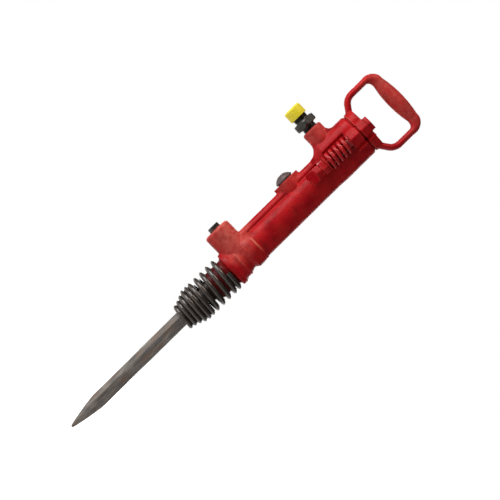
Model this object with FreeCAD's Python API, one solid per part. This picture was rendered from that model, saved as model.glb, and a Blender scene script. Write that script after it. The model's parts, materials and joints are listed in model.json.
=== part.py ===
import FreeCAD, Part
import os
from math import acos, cos, pi, radians, sin, sqrt, tan

# A pneumatic pick, in millimetres. The tool's axis is Z with the chisel pointing down, and the origin is
# the chisel's point. The air inlet points to -X. The side bolts and their springs stand at -Y (front) and
# +Y (rear).

V = FreeCAD.Vector
ORIGIN = V(0, 0, 0)
Y_AXIS, Z_AXIS = V(0, 1, 0), V(0, 0, 1)
SIDES = {"front": -1, "rear": 1}

# Fits, all radial or end clearances
seat_fit = 0.03
running_fit = 0.05
stop_gap = 0.3
overrun = 2.0
touch = 0.01

# Chisel: hexagon bar forged to a point, with a round collar and a hexagon shank
hex_af = 22.0
hex_turn = 12.0
point_r = 2.8
point_len = 80.0
point_swell = 1.5
point_open = 20.0
stem_len = 252.7
collar_r = 16.5
collar_len = 14.0
collar_edge = 2.0
shank_len = 82.5
shank_edge = 1.5

# Retaining spring: wound on the nose, then drawn in to a cone under the chisel's collar
wire_r = 3.75
coil_r = 27.7
cone_end_r = 18.0
open_pitch = 12.5
end_turn_gap = 0.58
close_gap = 0.65
cone_gap = 0.35
end_turns = 0.75
open_turns = 3.9
close_turns = 2.2
cone_turns = 3.4
cone_power = 1.5
wire_step_share = 0.5
spring_to_rim = 1.9

# Chisel bush, pressed into the nose from the bore. A raised chisel's shank stands proud of its top.
bush_r = 17.0
shank_proud = 8.2
bush_flange_len = 8.0
bush_show = 12.0
bush_edge = 1.5
hex_fit = 0.08

# Nose, bell, waist, belt and barrel of the cylinder, turned about the axis
neck_r = 25.4
neck_len = 37.0
nose_edge = 1.5
bare_neck_len = 1.4
rim_r = 30.6
rim_rise = 6.0
rim_round = 2.4
bell_r = 26.8
bell_len = 20.5
bell_hollow = 0.95
waist_r = 22.9
waist_rise = 32.0
belt_r = 27.8
belt_rise = 38.5
belt_len = 8.0
belt_top_r = 26.6
step_rise = 58.0
step_len = 1.0
barrel_r = 25.6
body_len = 289.5
bore_r = 19.0

# Air rib on the barrel's left side, with the return passage drilled in it
rib_r = 11.0
rib_x = -23.4
passage_r = 3.0
passage_x = -24.5
passage_y = 5.0

# Lower boss, cross-drilled from its end to the bore
lower_boss_r = 22.9
lower_boss_reach = 62.0
lower_boss_edge = 5.0
port_r = 4.0
port_lift = 3.0
plug_thread_r = 7.0
plug_thread_len = 12.0
plug_head_af = 17.0
plug_head_len = 5.5
plug_head_edge = 1.0
washer_r = 10.2
washer_t = 1.5

# Middle boss, a rhombic pad that holds the oil plug
pad_z_from_rim = 158.0
pad_r = 17.0
pad_end_r = 4.5
pad_half_len = 24.0
pad_reach = 40.5
oil_thread_r = 10.0
oil_thread_len = 9.0
oil_hole_r = 1.2
oil_hole_y = -3.5
dome_r = 15.4
dome_rim = 2.2
dome_rise = 8.2
dome_drive_af = 8.0
dome_drive_depth = 5.0
oil_seal_t = 1.0
oil_seal_r = 13.6

# Upper block, oval in plan: the barrel's side at the right, the throttle's at the left
block_r = 26.5
block_left_x = -22.0
block_len = 60.5
block_taper = 24.0
taper_inset = 0.5
seam_round = 1.5

# Pockets in the block's sides, round the side springs: a round trough, and a step to the left of it
trough_r = 15.6
pocket_left_x = -30.3
pocket_depth = 3.6

# Inlet boss
inlet_drop = 47.0
inlet_r = 17.7
inlet_reach = 69.7
inlet_edge = 2.5
inlet_top_fillet = 9.0
inlet_sweep_r = 18.5
inlet_sweep_x = -53.5
web_half = 12.0
web_sink = 0.6
inlet_passage_r = 6.5

# Inlet nipple, strainer and dust cap, along the inlet's axis
nipple_thread_r = 12.4
nipple_root_r = 11.3
nipple_in_len = 19.0
nipple_show = 5.6
nipple_hex_af = 36.0
nipple_hex_len = 13.2
nipple_hex_edge = 3.0
nipple_out_len = 22.0
nipple_edge = 1.2
relief_len = 1.6
nipple_bore_r = 8.0
strainer_flange_t = 1.2
strainer_r = 6.8
strainer_wall = 0.6
strainer_len = 24.0
cap_gap = 6.8
cap_r = 15.0
cap_len = 18.2
cap_end_t = 2.6
cap_edge = 3.0
skirt_gap = 1.0
cap_plug_len = 5.0
cap_plug_wall = 1.6

# Piston
piston_len = 105.0
piston_nose_r = 14.0
piston_nose_len = 4.0
groove_depth = 0.6
groove_len = 2.0
groove_pitch = 7.0
groove_count = 3
piston_edge = 1.5
piston_cushion = 4.0

# Exhaust ports in the rear of the barrel
exhaust_r = 4.5
exhaust_above_piston = 10.0
exhaust_angles = (40.0, 70.0, 100.0)

# Valve box, shuttle plate, dowel and screwed cap in the top of the bore
valve_bore_r = 21.0
box_len = 14.0
recess_r = 13.0
recess_depth = 3.0
spigot_r = 4.0
shuttle_t = 4.0
shuttle_play = 0.1
port_hole_r = 1.8
port_ring_r = 9.0
port_count = 6
dowel_r = 1.5
dowel_len = 8.0
dowel_ring_r = 17.0
cap_plate_len = 9.5
cap_drop = 0.5
cap_room_r = 15.0
cap_room_depth = 2.5
cap_drive_af = 14.0
cap_drive_depth = 4.5
ring_groove_len = 2.6
ring_wire_r = 1.2
cap_groove_lift = 2.0
return_port_r = 2.2
return_port_drop = 4.0

# Throttle, beside the bore under the handle
throttle_x = -37.0
chamber_r = 7.0
chamber_floor_drop = 58.5
seat_top_drop = 31.5
seat_len = 7.0
seat_bore_r = 4.2
guide_len = 20.2
stem_r = 2.5
valve_head_r = 5.8
valve_head_len = 3.2
valve_cone_len = 2.0
valve_tail_r = 2.0
valve_tail_len = 8.0
supply_r = 3.0
supply_y = -4.0
supply_drop = 27.0
seal_lift = 10.0
seal_wire_r = 1.0
valve_spring_r = 5.0
valve_spring_wall = 1.1
press_pin_r = 4.0
press_pin_len = 13.0
press_pin_proud = 0.9

# Side bolts with sleeves, spring seats, springs, washers and guide bushes
bolt_x = -12.4
bolt_y = 37.5
bolt_r = 5.0
bolt_head_af = 24.0
bolt_head_len = 6.4
bolt_head_edge = 1.6
sleeve_r = 7.0
ear_r = 13.5
ear_len = 18.5
ear_flare = 8.0
lug_round = 3.0
seat_flange_r = 14.0
seat_flange_t = 2.0
seat_hub_len = 6.0
seat_hub_fit = 0.8
side_wire_r = 2.75
side_coil_r = 11.9
side_spring_len = 47.0
side_end_gap = 0.55
side_spring_fit = 0.2
side_end_turns = 0.75
side_turns = 5.25
side_washer_r = 14.2
side_washer_t = 1.8
bush_head_af = 22.0
bush_head_len = 11.2
bush_turn = 12.0
corner_out = 30.0
bush_thread_r = 8.0
bush_thread_len = 11.0
foot_r = 10.6
foot_len = 10.0
foot_slope = 15.0
bolt_end_sink = 7.0

# Handle: a base of the block's plan, and a D grip above it: a swelling grip on two oval arms
handle_travel = 2.5
base_len = 15.0
grip_x = -10.1
grip_half = 53.6
grip_rise = 60.4
grip_mid_r = 13.6
grip_end_r = 9.6
grip_corner_r = 15.0
arm_r = 5.65
arm_depth = 10.5
low_bend_r = 20.0
low_bend_rise = 18.0
low_bend_turn = 55.0
foot_run = 17.5

# Round the grip's corner: the angle in degrees, and the share of the change from arm to grip
corner_shares = ((0, 0.0), (30, 0.5), (60, 0.95), (90, 1.0))

# Places that follow from the sizes above
hex_corner_r = hex_af / 2 / cos(pi / 6)
bush_len = shank_len - stop_gap - shank_proud
collar_top_z = stem_len + collar_len
shank_top_z = collar_top_z + shank_len
spring_turns = end_turns + open_turns + close_turns + cone_turns


def hexagon(across_flats, turn=0.0):
    """A hexagonal face on the XY plane, turned by so many degrees about Z."""
    corner = across_flats / 2 / cos(pi / 6)
    angles = [radians(turn + 60 * i) for i in range(6)]
    spots = [V(corner * cos(angle), corner * sin(angle), 0) for angle in angles]
    return Part.Face(Part.makePolygon(spots + spots[:1]))


def flat(plane, start, *steps):
    """A closed face on a plane. A step is an end point, or a pair: a point on an arc and the arc's end."""
    planes = {"xy": lambda a, b: V(a, b, 0), "xz": lambda a, b: V(a, 0, b), "yz": lambda a, b: V(0, a, b)}
    place = planes[plane]
    edges, here = [], start
    for step in steps + (start,):
        if isinstance(step[0], tuple):
            middle, end = step
            edges.append(Part.Arc(place(*here), place(*middle), place(*end)).toShape())
        else:
            end = step
            if (V(*end) - V(*here)).Length > 0:
                edges.append(Part.LineSegment(place(*here), place(*end)).toShape())
        here = end
    return Part.Face(Part.Wire(edges))


def bulge(start, end, depth):
    """An arc step from start to end that stands depth to the right of the straight line between them."""
    along = (end[0] - start[0], end[1] - start[1])
    length = sqrt(along[0] ** 2 + along[1] ** 2)
    aside = (along[1] / length * depth, -along[0] / length * depth)
    return (((start[0] + end[0]) / 2 + aside[0], (start[1] + end[1]) / 2 + aside[1]), end)


def corner_arc(centre, radius, start, end):
    """An arc step round a centre, from one angle to another, in degrees."""
    def at(angle):
        return (centre[0] + radius * cos(radians(angle)), centre[1] + radius * sin(radians(angle)))
    return (at((start + end) / 2), at(end))


def turned(start, *steps):
    """A solid turned about Z from an outline given as (radius, height)."""
    return flat("xz", start, *steps).revolve(ORIGIN, Z_AXIS, 360)


def rod(radius, low, high, x=0.0, y=0.0):
    return Part.makeCylinder(radius, high - low, V(x, y, low))


def tube(outer, inner, low, high):
    return rod(outer, low, high).cut(rod(inner, low - overrun, high + overrun))


def bar(face, low, high):
    """A prism of a flat face between two heights."""
    lifted = face.copy()
    lifted.translate(V(0, 0, low))
    return lifted.extrude(V(0, 0, high - low))


def moved(shape, x=0.0, y=0.0, z=0.0):
    placed = shape.copy()
    placed.translate(V(x, y, z))
    return placed


def sideways(shape, z):
    """Lays a shape built along +Z down along -X at a height. Its own height is then its reach to the left."""
    laid = shape.copy()
    laid.rotate(ORIGIN, Y_AXIS, -90)
    laid.translate(V(0, 0, z))
    return laid


def oval(left_x, left_r, right_r):
    """The wire round two circles on the X axis, the right one on the origin."""
    lean = (left_r - right_r) / -left_x
    rise = sqrt(1 - lean ** 2)
    left_top = (left_x + left_r * lean, left_r * rise)
    right_top = (right_r * lean, right_r * rise)
    face = flat("xy", right_top, left_top, ((left_x - left_r, 0), (left_top[0], -left_top[1])),
                (right_top[0], -right_top[1]), ((right_r, 0), right_top))
    return face.OuterWire


def softened(solid, radius, picks):
    """Rounds the edges whose middle passes a test."""
    return solid.makeFillet(radius, [edge for edge in solid.Edges if picks(edge.CenterOfMass)])


def chamfered_hexagon(across_flats, low, high, edge, turn=0.0, both_ends=True):
    """A hexagon bar whose corners are turned off by a cone at its top, or at both ends."""
    corner = across_flats / 2 / cos(pi / 6)
    drop = edge / 2
    foot = drop if both_ends else 0
    blank = turned((0, low), (corner - edge if both_ends else corner, low), (corner, low + foot),
                   (corner, high - drop), (corner - edge, high), (0, high))
    return bar(hexagon(across_flats, turn), low, high).common(blank)


def arc_through(start, tangent, end):
    """The arc that leaves start along a tangent and ends at end."""
    chord = end - start
    along = V(chord).normalize()
    aside = tangent - along * tangent.dot(along)
    lean = acos(max(-1, min(1, tangent.dot(along))))
    middle = start + chord * 0.5 + aside.normalize() * (chord.Length / 2 * tan(lean / 2))
    return Part.Arc(start, middle, end).toShape()


def biarc(p0, t0, p1, t1):
    """Two tangent arcs from one point and direction to another."""
    v = p1 - p0
    t = t0 + t1
    spread = 2 * (1 - t0.dot(t1))
    reach = (sqrt(v.dot(t) ** 2 + spread * v.dot(v)) - v.dot(t)) / spread
    joint = (p0 + p1 + (t0 - t1) * reach) * 0.5
    second = arc_through(p1, t1 * -1, joint)
    back = second.Curve
    middle = back.value((second.FirstParameter + second.LastParameter) / 2)
    return [arc_through(p0, t0, joint), Part.Arc(joint, middle, p1).toShape()]


def coil_points(radius_at, height_at, turns, start_angle, hand, step_share):
    """Points and unit directions along a coil, a share of a turn apart. hand is 1 or -1."""
    def at(turn):
        angle = radians(start_angle) + hand * 2 * pi * turn
        return V(radius_at(turn) * cos(angle), radius_at(turn) * sin(angle), height_at(turn))
    count = round(turns / step_share)
    near_share = step_share / 1000
    spots = []
    for i in range(count + 1):
        turn = turns * i / count
        before, after = max(0, turn - near_share), min(turns, turn + near_share)
        spots.append((at(turn), (at(after) - at(before)).normalize()))
    return spots


def wound(spots, radius):
    """One unbroken round wire along biarcs through the points of a coil."""
    edges = []
    for (p0, t0), (p1, t1) in zip(spots, spots[1:]):
        edges += biarc(p0, t0, p1, t1)
    start, tangent = spots[0]
    ring = Part.Wire(Part.makeCircle(radius, start, tangent))
    return Part.Wire(edges).makePipeShell([ring], True, False)


def least_gap(radius_at, height_at, turns, radius, samples=48):
    """The least gap from one turn of a coil to the next, on points."""
    gaps = []
    for i in range(round((turns - 1) * samples) + 1):
        turn = i / samples
        for j in range(-samples // 4, samples // 4 + 1):
            other = turn + 1 + j / samples
            if other <= turns:
                angle = 2 * pi * (other - turn)
                r0, r1 = radius_at(turn), radius_at(other)
                level = height_at(turn) - height_at(other)
                gaps.append(sqrt(r0 ** 2 + r1 ** 2 - 2 * r0 * r1 * cos(angle) + level ** 2) - 2 * radius)
    return min(gaps)


# Retaining spring's course: its radius, and its drop below the top end of the wire
close_pitch = 2 * wire_r + close_gap
cone_pitch = 2 * wire_r + cone_gap
end_pitch = (2 * wire_r + end_turn_gap - (1 - end_turns) * open_pitch) / end_turns
pitch_stages = ((end_turns, end_pitch), (open_turns, open_pitch),
                (close_turns, close_pitch), (cone_turns, cone_pitch))


def retaining_drop(turn):
    drop, left = 0.0, turn
    for turns, pitch in pitch_stages:
        done = min(left, turns)
        drop += done * pitch
        left -= done
    return -drop


def retaining_radius(turn):
    drawn = (turn - (spring_turns - cone_turns)) / cone_turns
    if drawn <= 0:
        return coil_r
    return coil_r - (coil_r - cone_end_r) * (1 - (1 - min(1, drawn)) ** cone_power)


def collar_seat():
    """How far below the wire's top end the cone first carries the collar."""
    seat, samples = None, 200
    for i in range(samples + 1):
        turn = spring_turns - cone_turns * i / samples
        aside = retaining_radius(turn) - collar_r
        if abs(aside) < wire_r:
            level = retaining_drop(turn) + sqrt(wire_r ** 2 - aside ** 2)
            seat = level if seat is None else max(seat, level)
    return seat


# Heights up the tool, each from the one below it
spring_top_z = stem_len - stop_gap - collar_seat()
rim_z = spring_top_z + wire_r + spring_to_rim
nose_z = rim_z - neck_len
bush_low_z = nose_z - bush_show
bush_top_z = bush_low_z + bush_len
flange_low_z = bush_top_z - bush_flange_len
chisel_lift = bush_low_z - collar_top_z - stop_gap
piston_z = shank_top_z + chisel_lift + stop_gap
lower_boss_z = bush_top_z + port_lift
pad_z = rim_z + pad_z_from_rim
block_top_z = rim_z + body_len
block_low_z = block_top_z - block_len
valve_z = block_top_z - cap_drop - cap_plate_len - 2 * box_len
piston_travel = valve_z - piston_z - piston_len - piston_cushion
inlet_z = block_top_z - inlet_drop
handle_z = block_top_z + handle_travel
base_top_z = handle_z + base_len
ear_low_z = block_top_z - ear_len
spring_high_z = ear_low_z - seat_flange_t
spring_low_z = spring_high_z - side_spring_len
bush_head_top_z = spring_low_z - side_washer_t
foot_top_z = bush_head_top_z - bush_head_len
seat_r = coil_r - wire_r - stop_gap
chamber_floor_z = block_top_z - chamber_floor_drop
seat_top_z = block_top_z - seat_top_drop
seat_low_z = seat_top_z - seat_len
guide_top_z = block_top_z - press_pin_proud - stop_gap
guide_low_z = guide_top_z - guide_len
stem_top_z = handle_z - press_pin_proud - stop_gap
valve_cone_sink = valve_cone_len * (valve_head_r - seat_bore_r) / (valve_head_r - stem_r)
valve_head_z = seat_low_z - stop_gap - valve_cone_sink - valve_head_len
split_z = valve_z + box_len
chamber_len = 2 * recess_depth
shuttle_travel = chamber_len - shuttle_t - 2 * shuttle_play
nipple_face = inlet_reach + nipple_show
hex_face = nipple_face + nipple_hex_len
nipple_end = hex_face + nipple_out_len


def barrel_outline():
    """The turned outside of the casting, from the nose up into the block."""
    bell_top = (bell_r, rim_z + bell_len)
    rim_low = (rim_r - rim_round, rim_z)
    rim_side = (rim_r, rim_z + rim_round)
    rim_top = (rim_r, rim_z + rim_rise)
    return turned(
        (0, nose_z), (seat_r - nose_edge, nose_z), (seat_r, nose_z + nose_edge),
        (seat_r, rim_z - bare_neck_len - (neck_r - seat_r)), (neck_r, rim_z - bare_neck_len),
        (neck_r, rim_z), rim_low,
        corner_arc((rim_r - rim_round, rim_z + rim_round), rim_round, -90, 0), rim_top,
        bulge(rim_top, bell_top, -bell_hollow),
        (waist_r, rim_z + waist_rise), (belt_r, rim_z + belt_rise), (belt_r, rim_z + belt_rise + belt_len),
        (belt_top_r, rim_z + step_rise), (barrel_r, rim_z + step_rise + step_len), (barrel_r, ear_low_z),
        (0, ear_low_z))


def rhombic_pad():
    """The middle boss: a wide round middle drawn out to two small ends, up and down the rib."""
    end = pad_half_len - pad_end_r
    lean = (pad_r - pad_end_r) / end
    rise = sqrt(1 - lean ** 2)
    big = (pad_r * lean, pad_r * rise)
    small = (end + pad_end_r * lean, pad_end_r * rise)
    face = flat("xy", small, big, ((0, pad_r), (-big[0], big[1])), (-small[0], small[1]),
                ((-end - pad_end_r, 0), (-small[0], -small[1])), (-big[0], -big[1]),
                ((0, -pad_r), (big[0], -big[1])), (small[0], -small[1]), ((end + pad_end_r, 0), small))
    return sideways(bar(face, 0, pad_reach), pad_z)


def lug(radius, side, low, high, flare=0.0):
    """A lug from the body out round a side bolt. Its nose is half a hexagon with a corner outwards, its
    upright edges are rounded, and on its right it can flare out into the body."""
    corner = radius / cos(pi / 6)
    shoulder = side * (bolt_y + corner / 2)
    left, right = bolt_x - radius, bolt_x + radius
    nose = (bolt_x, side * (bolt_y + corner))
    plan = bar(flat("xy", (left, 0), (left, shoulder), nose, (right, shoulder), (right, 0)), low, high)
    middle = (low + high) / 2
    plan = softened(plan, lug_round, lambda at: abs(at.z - middle) < touch and at.y * side > bolt_y)
    if not flare:
        return plan
    land = sqrt(block_r ** 2 - (right + flare) ** 2) - touch
    bend = corner_arc((right + flare, side * (land + flare)), flare, 180, 180 + side * -90)
    web = flat("xy", (right, 0), (right, side * (land + flare)), bend, (right + flare, 0))
    return plan.fuse(bar(web, low, high))


def foot_boss(side):
    """The lug that holds a guide bush, sloping back into the barrel below."""
    low = foot_top_z - foot_len
    out = bolt_y + foot_r / cos(pi / 6)
    slope = flat("yz", (side * (out + overrun), low), (side * (out + overrun), low - foot_slope - overrun),
                 (side * waist_r, low - foot_slope - overrun), (side * waist_r, low - foot_slope),
                 (side * out, low))
    wedge = moved(slope, x=bolt_x - foot_r - overrun).extrude(V(2 * (foot_r + overrun), 0, 0))
    return lug(foot_r, side, low - foot_slope, foot_top_z).cut(wedge)


def inlet_boss():
    """The boss for the nipple, with a fillet above it and a wide sweep down into the rib below it."""
    boss = sideways(turned((0, 0), (inlet_r, 0), (inlet_r, inlet_reach - inlet_edge),
                           (inlet_r - inlet_edge, inlet_reach), (0, inlet_reach)), inlet_z)
    top, low = inlet_z + inlet_r - web_sink, inlet_z - inlet_r + web_sink
    wall_x = block_left_x - block_r
    sweep = (inlet_sweep_x, low - inlet_sweep_r)
    fillet = (wall_x - inlet_top_fillet, top + inlet_top_fillet)
    web = flat("xz", (wall_x, top + inlet_top_fillet), corner_arc(fillet, inlet_top_fillet, 0, -90),
               (inlet_sweep_x, top), (inlet_sweep_x, low), corner_arc(sweep, inlet_sweep_r, 90, 0),
               (rib_x, low - inlet_sweep_r), (rib_x, top + inlet_top_fillet))
    web.translate(V(0, -web_half, 0))
    return boss.fuse(web.extrude(V(0, 2 * web_half, 0)))


def block():
    """The upper block and the taper that leads it down into barrel and rib."""
    plan = oval(block_left_x, block_r, block_r)
    low_plan = oval(rib_x, rib_r - taper_inset, barrel_r - taper_inset)
    low_plan.translate(V(0, 0, block_low_z - block_taper))
    high_plan = plan.copy()
    high_plan.translate(V(0, 0, block_low_z))
    taper = Part.makeLoft([low_plan, high_plan], True, True)
    sweep_z = inlet_z - inlet_r + web_sink - inlet_sweep_r
    sweep_start = V(inlet_sweep_x, -2 * block_r, sweep_z)
    under_sweep = Part.makeCylinder(inlet_sweep_r, 4 * block_r, sweep_start, Y_AXIS)
    upper = softened(bar(Part.Face(plan), block_low_z, block_top_z), seam_round,
                     lambda at: abs(at.z - block_top_z) < touch)
    return taper.cut(under_sweep).fuse(upper)


def spring_pocket(side):
    """The recess that a side spring, its seat and its bush stand in."""
    floor_y = side * (block_r - pocket_depth)
    step = flat("xy", (pocket_left_x, floor_y), (pocket_left_x, side * bolt_y), (bolt_x, side * bolt_y),
                (bolt_x, floor_y))
    trough = rod(trough_r, foot_top_z, ear_low_z, bolt_x, side * bolt_y)
    return trough.fuse(bar(step, foot_top_z, ear_low_z))


def casting_bores():
    """Everything that is bored or drilled in the cylinder."""
    cuts = [rod(bush_r + seat_fit, nose_z - overrun, flange_low_z + overrun),
            rod(bore_r, flange_low_z, valve_z + overrun),
            rod(valve_bore_r, valve_z, block_top_z + overrun)]
    lower = rod(port_r, bore_r - overrun, lower_boss_reach).fuse(
        rod(plug_thread_r, lower_boss_reach - plug_thread_len - overrun, lower_boss_reach + overrun))
    cuts.append(sideways(lower, lower_boss_z))
    return_top_z = valve_z + return_port_drop
    cuts.append(rod(passage_r, lower_boss_z, return_top_z + passage_r, passage_x, passage_y))
    cuts.append(sideways(moved(rod(return_port_r, bore_r, -passage_x), y=passage_y), return_top_z))
    oil = rod(oil_thread_r, pad_reach - oil_thread_len - stop_gap, pad_reach + overrun)
    oil = oil.fuse(moved(rod(oil_hole_r, bore_r - overrun, pad_reach - oil_thread_len), y=oil_hole_y))
    cuts.append(sideways(oil, pad_z))
    exhaust = V(0, 0, piston_z + piston_len + exhaust_above_piston)
    for angle in exhaust_angles:
        outward = V(cos(radians(angle)), sin(radians(angle)), 0)
        cuts.append(Part.makeCylinder(exhaust_r, 2 * barrel_r, exhaust, outward))
    cuts.append(rod(chamber_r, chamber_floor_z, block_top_z + overrun, throttle_x))
    inlet = rod(nipple_thread_r + seat_fit, inlet_reach - nipple_in_len - stop_gap, inlet_reach + overrun)
    inlet = inlet.fuse(rod(inlet_passage_r, -throttle_x, inlet_reach))
    cuts.append(sideways(inlet, inlet_z))
    cuts.append(sideways(moved(rod(supply_r, bore_r, -throttle_x), y=supply_y), block_top_z - supply_drop))
    for side in SIDES.values():
        y = side * bolt_y
        cuts.append(rod(sleeve_r + running_fit, ear_low_z - overrun, block_top_z + overrun, bolt_x, y))
        cuts.append(spring_pocket(side))
        thread_low_z = foot_top_z - bush_thread_len - stop_gap
        cuts.append(rod(bush_thread_r + seat_fit, thread_low_z, foot_top_z + overrun, bolt_x, y))
    return cuts


def cylinder():
    lugs = [foot_boss(side) for side in SIDES.values()]
    lugs += [lug(ear_r, side, ear_low_z, block_top_z, ear_flare) for side in SIDES.values()]
    edge_r, edge_z = lower_boss_r - lower_boss_edge, lower_boss_reach - lower_boss_edge
    lower_boss = sideways(turned((0, 0), (lower_boss_r, 0), (lower_boss_r, edge_z),
                                 corner_arc((edge_r, edge_z), lower_boss_edge, 0, 90),
                                 (0, lower_boss_reach)), lower_boss_z)
    rib = rod(rib_r, lower_boss_z, block_low_z, rib_x)
    body = barrel_outline().multiFuse([rib, lower_boss, rhombic_pad(), block(), inlet_boss()] + lugs)
    return body.cut(casting_bores())


def chisel():
    """Hexagon bar cut by a turned point, so that the flats run out along it as on a forged point."""
    nose = corner_arc((0, point_r), point_r, -90, -point_open)
    shoulder = (hex_corner_r + overrun, point_len + overrun)
    swell = bulge(nose[1], shoulder, point_swell)
    point = turned((0, 0), nose, swell, (shoulder[0], stem_len), (0, stem_len))
    stem = bar(hexagon(hex_af, hex_turn), 0, stem_len).common(point)
    collar = turned((0, stem_len), (collar_r - collar_edge, stem_len), (collar_r, stem_len + collar_edge),
                    (collar_r, collar_top_z - collar_edge), (collar_r - collar_edge, collar_top_z),
                    (0, collar_top_z))
    tip = turned((0, collar_top_z), (hex_corner_r, collar_top_z), (hex_corner_r, shank_top_z - shank_edge),
                 (hex_corner_r - shank_edge, shank_top_z), (0, shank_top_z))
    shank = bar(hexagon(hex_af, hex_turn), collar_top_z, shank_top_z).common(tip)
    return stem.multiFuse([collar, shank])


def chisel_bush():
    flange_r = bore_r - seat_fit
    outer = turned((0, bush_low_z), (bush_r - bush_edge, bush_low_z), (bush_r, bush_low_z + bush_edge),
                   (bush_r, flange_low_z), (flange_r, flange_low_z), (flange_r, bush_top_z), (0, bush_top_z))
    hole = hexagon(hex_af + 2 * hex_fit, hex_turn)
    return outer.cut(bar(hole, bush_low_z - overrun, bush_top_z + overrun))


def retaining_spring():
    """Its wire starts at the front, under the rim."""
    print("retaining spring, least gap to itself:",
          round(least_gap(retaining_radius, retaining_drop, spring_turns, wire_r), 2))
    spots = coil_points(retaining_radius, retaining_drop, spring_turns, 270, 1, wire_step_share)
    return moved(wound(spots, wire_r), z=spring_top_z)


def passage_plug():
    face = lower_boss_reach + washer_t
    thread = rod(plug_thread_r - seat_fit, lower_boss_reach - plug_thread_len, face)
    head = chamfered_hexagon(plug_head_af, face, face + plug_head_len, plug_head_edge, both_ends=False)
    return sideways(thread.fuse(head), lower_boss_z)


def passage_plug_washer():
    washer = tube(washer_r, plug_thread_r, lower_boss_reach, lower_boss_reach + washer_t)
    return sideways(washer, lower_boss_z)


def oil_plug():
    """A domed plug with a hexagon socket in its crown."""
    face = pad_reach + oil_seal_t
    rim = face + dome_rim
    crown = rim + dome_rise
    swell = (dome_rise ** 2 + dome_r ** 2) / (2 * dome_rise)
    lean = sin(acos(1 - dome_rise / 2 / swell)) * swell
    dome = turned((0, face), (dome_r, face), (dome_r, rim), ((lean, crown - dome_rise / 2), (0, crown)))
    thread = rod(oil_thread_r - seat_fit, pad_reach - oil_thread_len, face)
    socket = bar(hexagon(dome_drive_af), crown - dome_drive_depth, crown + overrun)
    return sideways(dome.fuse(thread).cut(socket), pad_z)


def oil_plug_seal():
    return sideways(tube(oil_seal_r, oil_thread_r, pad_reach, pad_reach + oil_seal_t), pad_z)


def ring(radius, wire, x, z):
    """A round sealing ring about a vertical axis."""
    return Part.makeTorus(radius, wire, V(x, 0, z))


def port_holes(low, high):
    """A circle of small ports through a half of the valve box."""
    spots = [(port_ring_r * cos(2 * pi * i / port_count), port_ring_r * sin(2 * pi * i / port_count))
             for i in range(port_count)]
    return [rod(port_hole_r, low, high, x, y) for x, y in spots]


def valve_box_lower():
    body = rod(valve_bore_r - seat_fit, valve_z, split_z)
    recess = tube(recess_r, spigot_r, split_z - recess_depth, split_z + overrun)
    cuts = [recess, rod(dowel_r + seat_fit, split_z - dowel_len / 2, split_z + overrun, dowel_ring_r)]
    cuts += port_holes(valve_z - overrun, split_z)
    gallery = tube(valve_bore_r, valve_bore_r - return_port_r, valve_z + return_port_drop - return_port_r,
                   valve_z + return_port_drop + return_port_r)
    return body.cut(cuts + [gallery])


def valve_box_upper():
    high = split_z + box_len
    body = rod(valve_bore_r - seat_fit, split_z, high)
    recess = rod(recess_r, split_z - overrun, split_z + recess_depth)
    cuts = [recess, rod(dowel_r + seat_fit, split_z - overrun, split_z + dowel_len / 2, dowel_ring_r)]
    cuts += port_holes(split_z, high + overrun)
    return body.cut(cuts)


def valve_dowel():
    half = dowel_len / 2 - seat_fit
    return rod(dowel_r, split_z - half, split_z + half, dowel_ring_r)


def shuttle_valve():
    plate = tube(recess_r - running_fit, spigot_r + running_fit, 0, shuttle_t)
    return moved(plate, z=split_z - recess_depth + shuttle_play)


def cylinder_cap():
    low = split_z + box_len
    high = block_top_z - cap_drop
    groove_low = low + cap_groove_lift
    groove_r = valve_bore_r - 2 * ring_wire_r
    groove = tube(valve_bore_r + overrun, groove_r, groove_low, groove_low + ring_groove_len)
    cuts = [rod(cap_room_r, low - overrun, low + cap_room_depth), groove,
            bar(hexagon(cap_drive_af), high - cap_drive_depth, high + overrun)]
    return rod(valve_bore_r - seat_fit, low, high).cut(cuts)


def cap_seal():
    groove_z = split_z + box_len + cap_groove_lift + ring_groove_len / 2
    return ring(valve_bore_r - ring_wire_r, ring_wire_r - seat_fit, 0, groove_z)


def throttle_seat():
    return moved(tube(chamber_r - seat_fit, seat_bore_r, seat_low_z, seat_top_z), x=throttle_x)


def throttle_guide():
    groove_z = guide_low_z + seal_lift
    groove = rod(stem_r + 2 * seal_wire_r, groove_z - seal_wire_r, groove_z + seal_wire_r)
    bore = rod(stem_r + running_fit, guide_low_z - overrun, guide_top_z + overrun)
    body = rod(chamber_r - seat_fit, guide_low_z, guide_top_z)
    return moved(body.cut([bore, groove]), x=throttle_x)


def throttle_seal():
    groove_z = guide_low_z + seal_lift
    return ring(stem_r + seal_wire_r + running_fit / 2, seal_wire_r - running_fit, throttle_x, groove_z)


def throttle_valve():
    """Stem, head with a coned seat, and the tail that keeps the spring in place."""
    tail_z, cone_z = valve_head_z - valve_tail_len, valve_head_z + valve_head_len
    body = turned((0, tail_z), (valve_tail_r, tail_z), (valve_tail_r, valve_head_z),
                  (valve_head_r, valve_head_z), (valve_head_r, cone_z), (stem_r, cone_z + valve_cone_len),
                  (stem_r, stem_top_z), (0, stem_top_z))
    return moved(body, x=throttle_x)


def throttle_spring():
    """Hidden under the valve; the outer shape of a coil spring."""
    sleeve = tube(valve_spring_r, valve_spring_r - valve_spring_wall, chamber_floor_z, valve_head_z)
    return moved(sleeve, x=throttle_x)


def press_pin():
    low = handle_z - press_pin_proud
    return rod(press_pin_r, low, low + press_pin_len, throttle_x)


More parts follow.
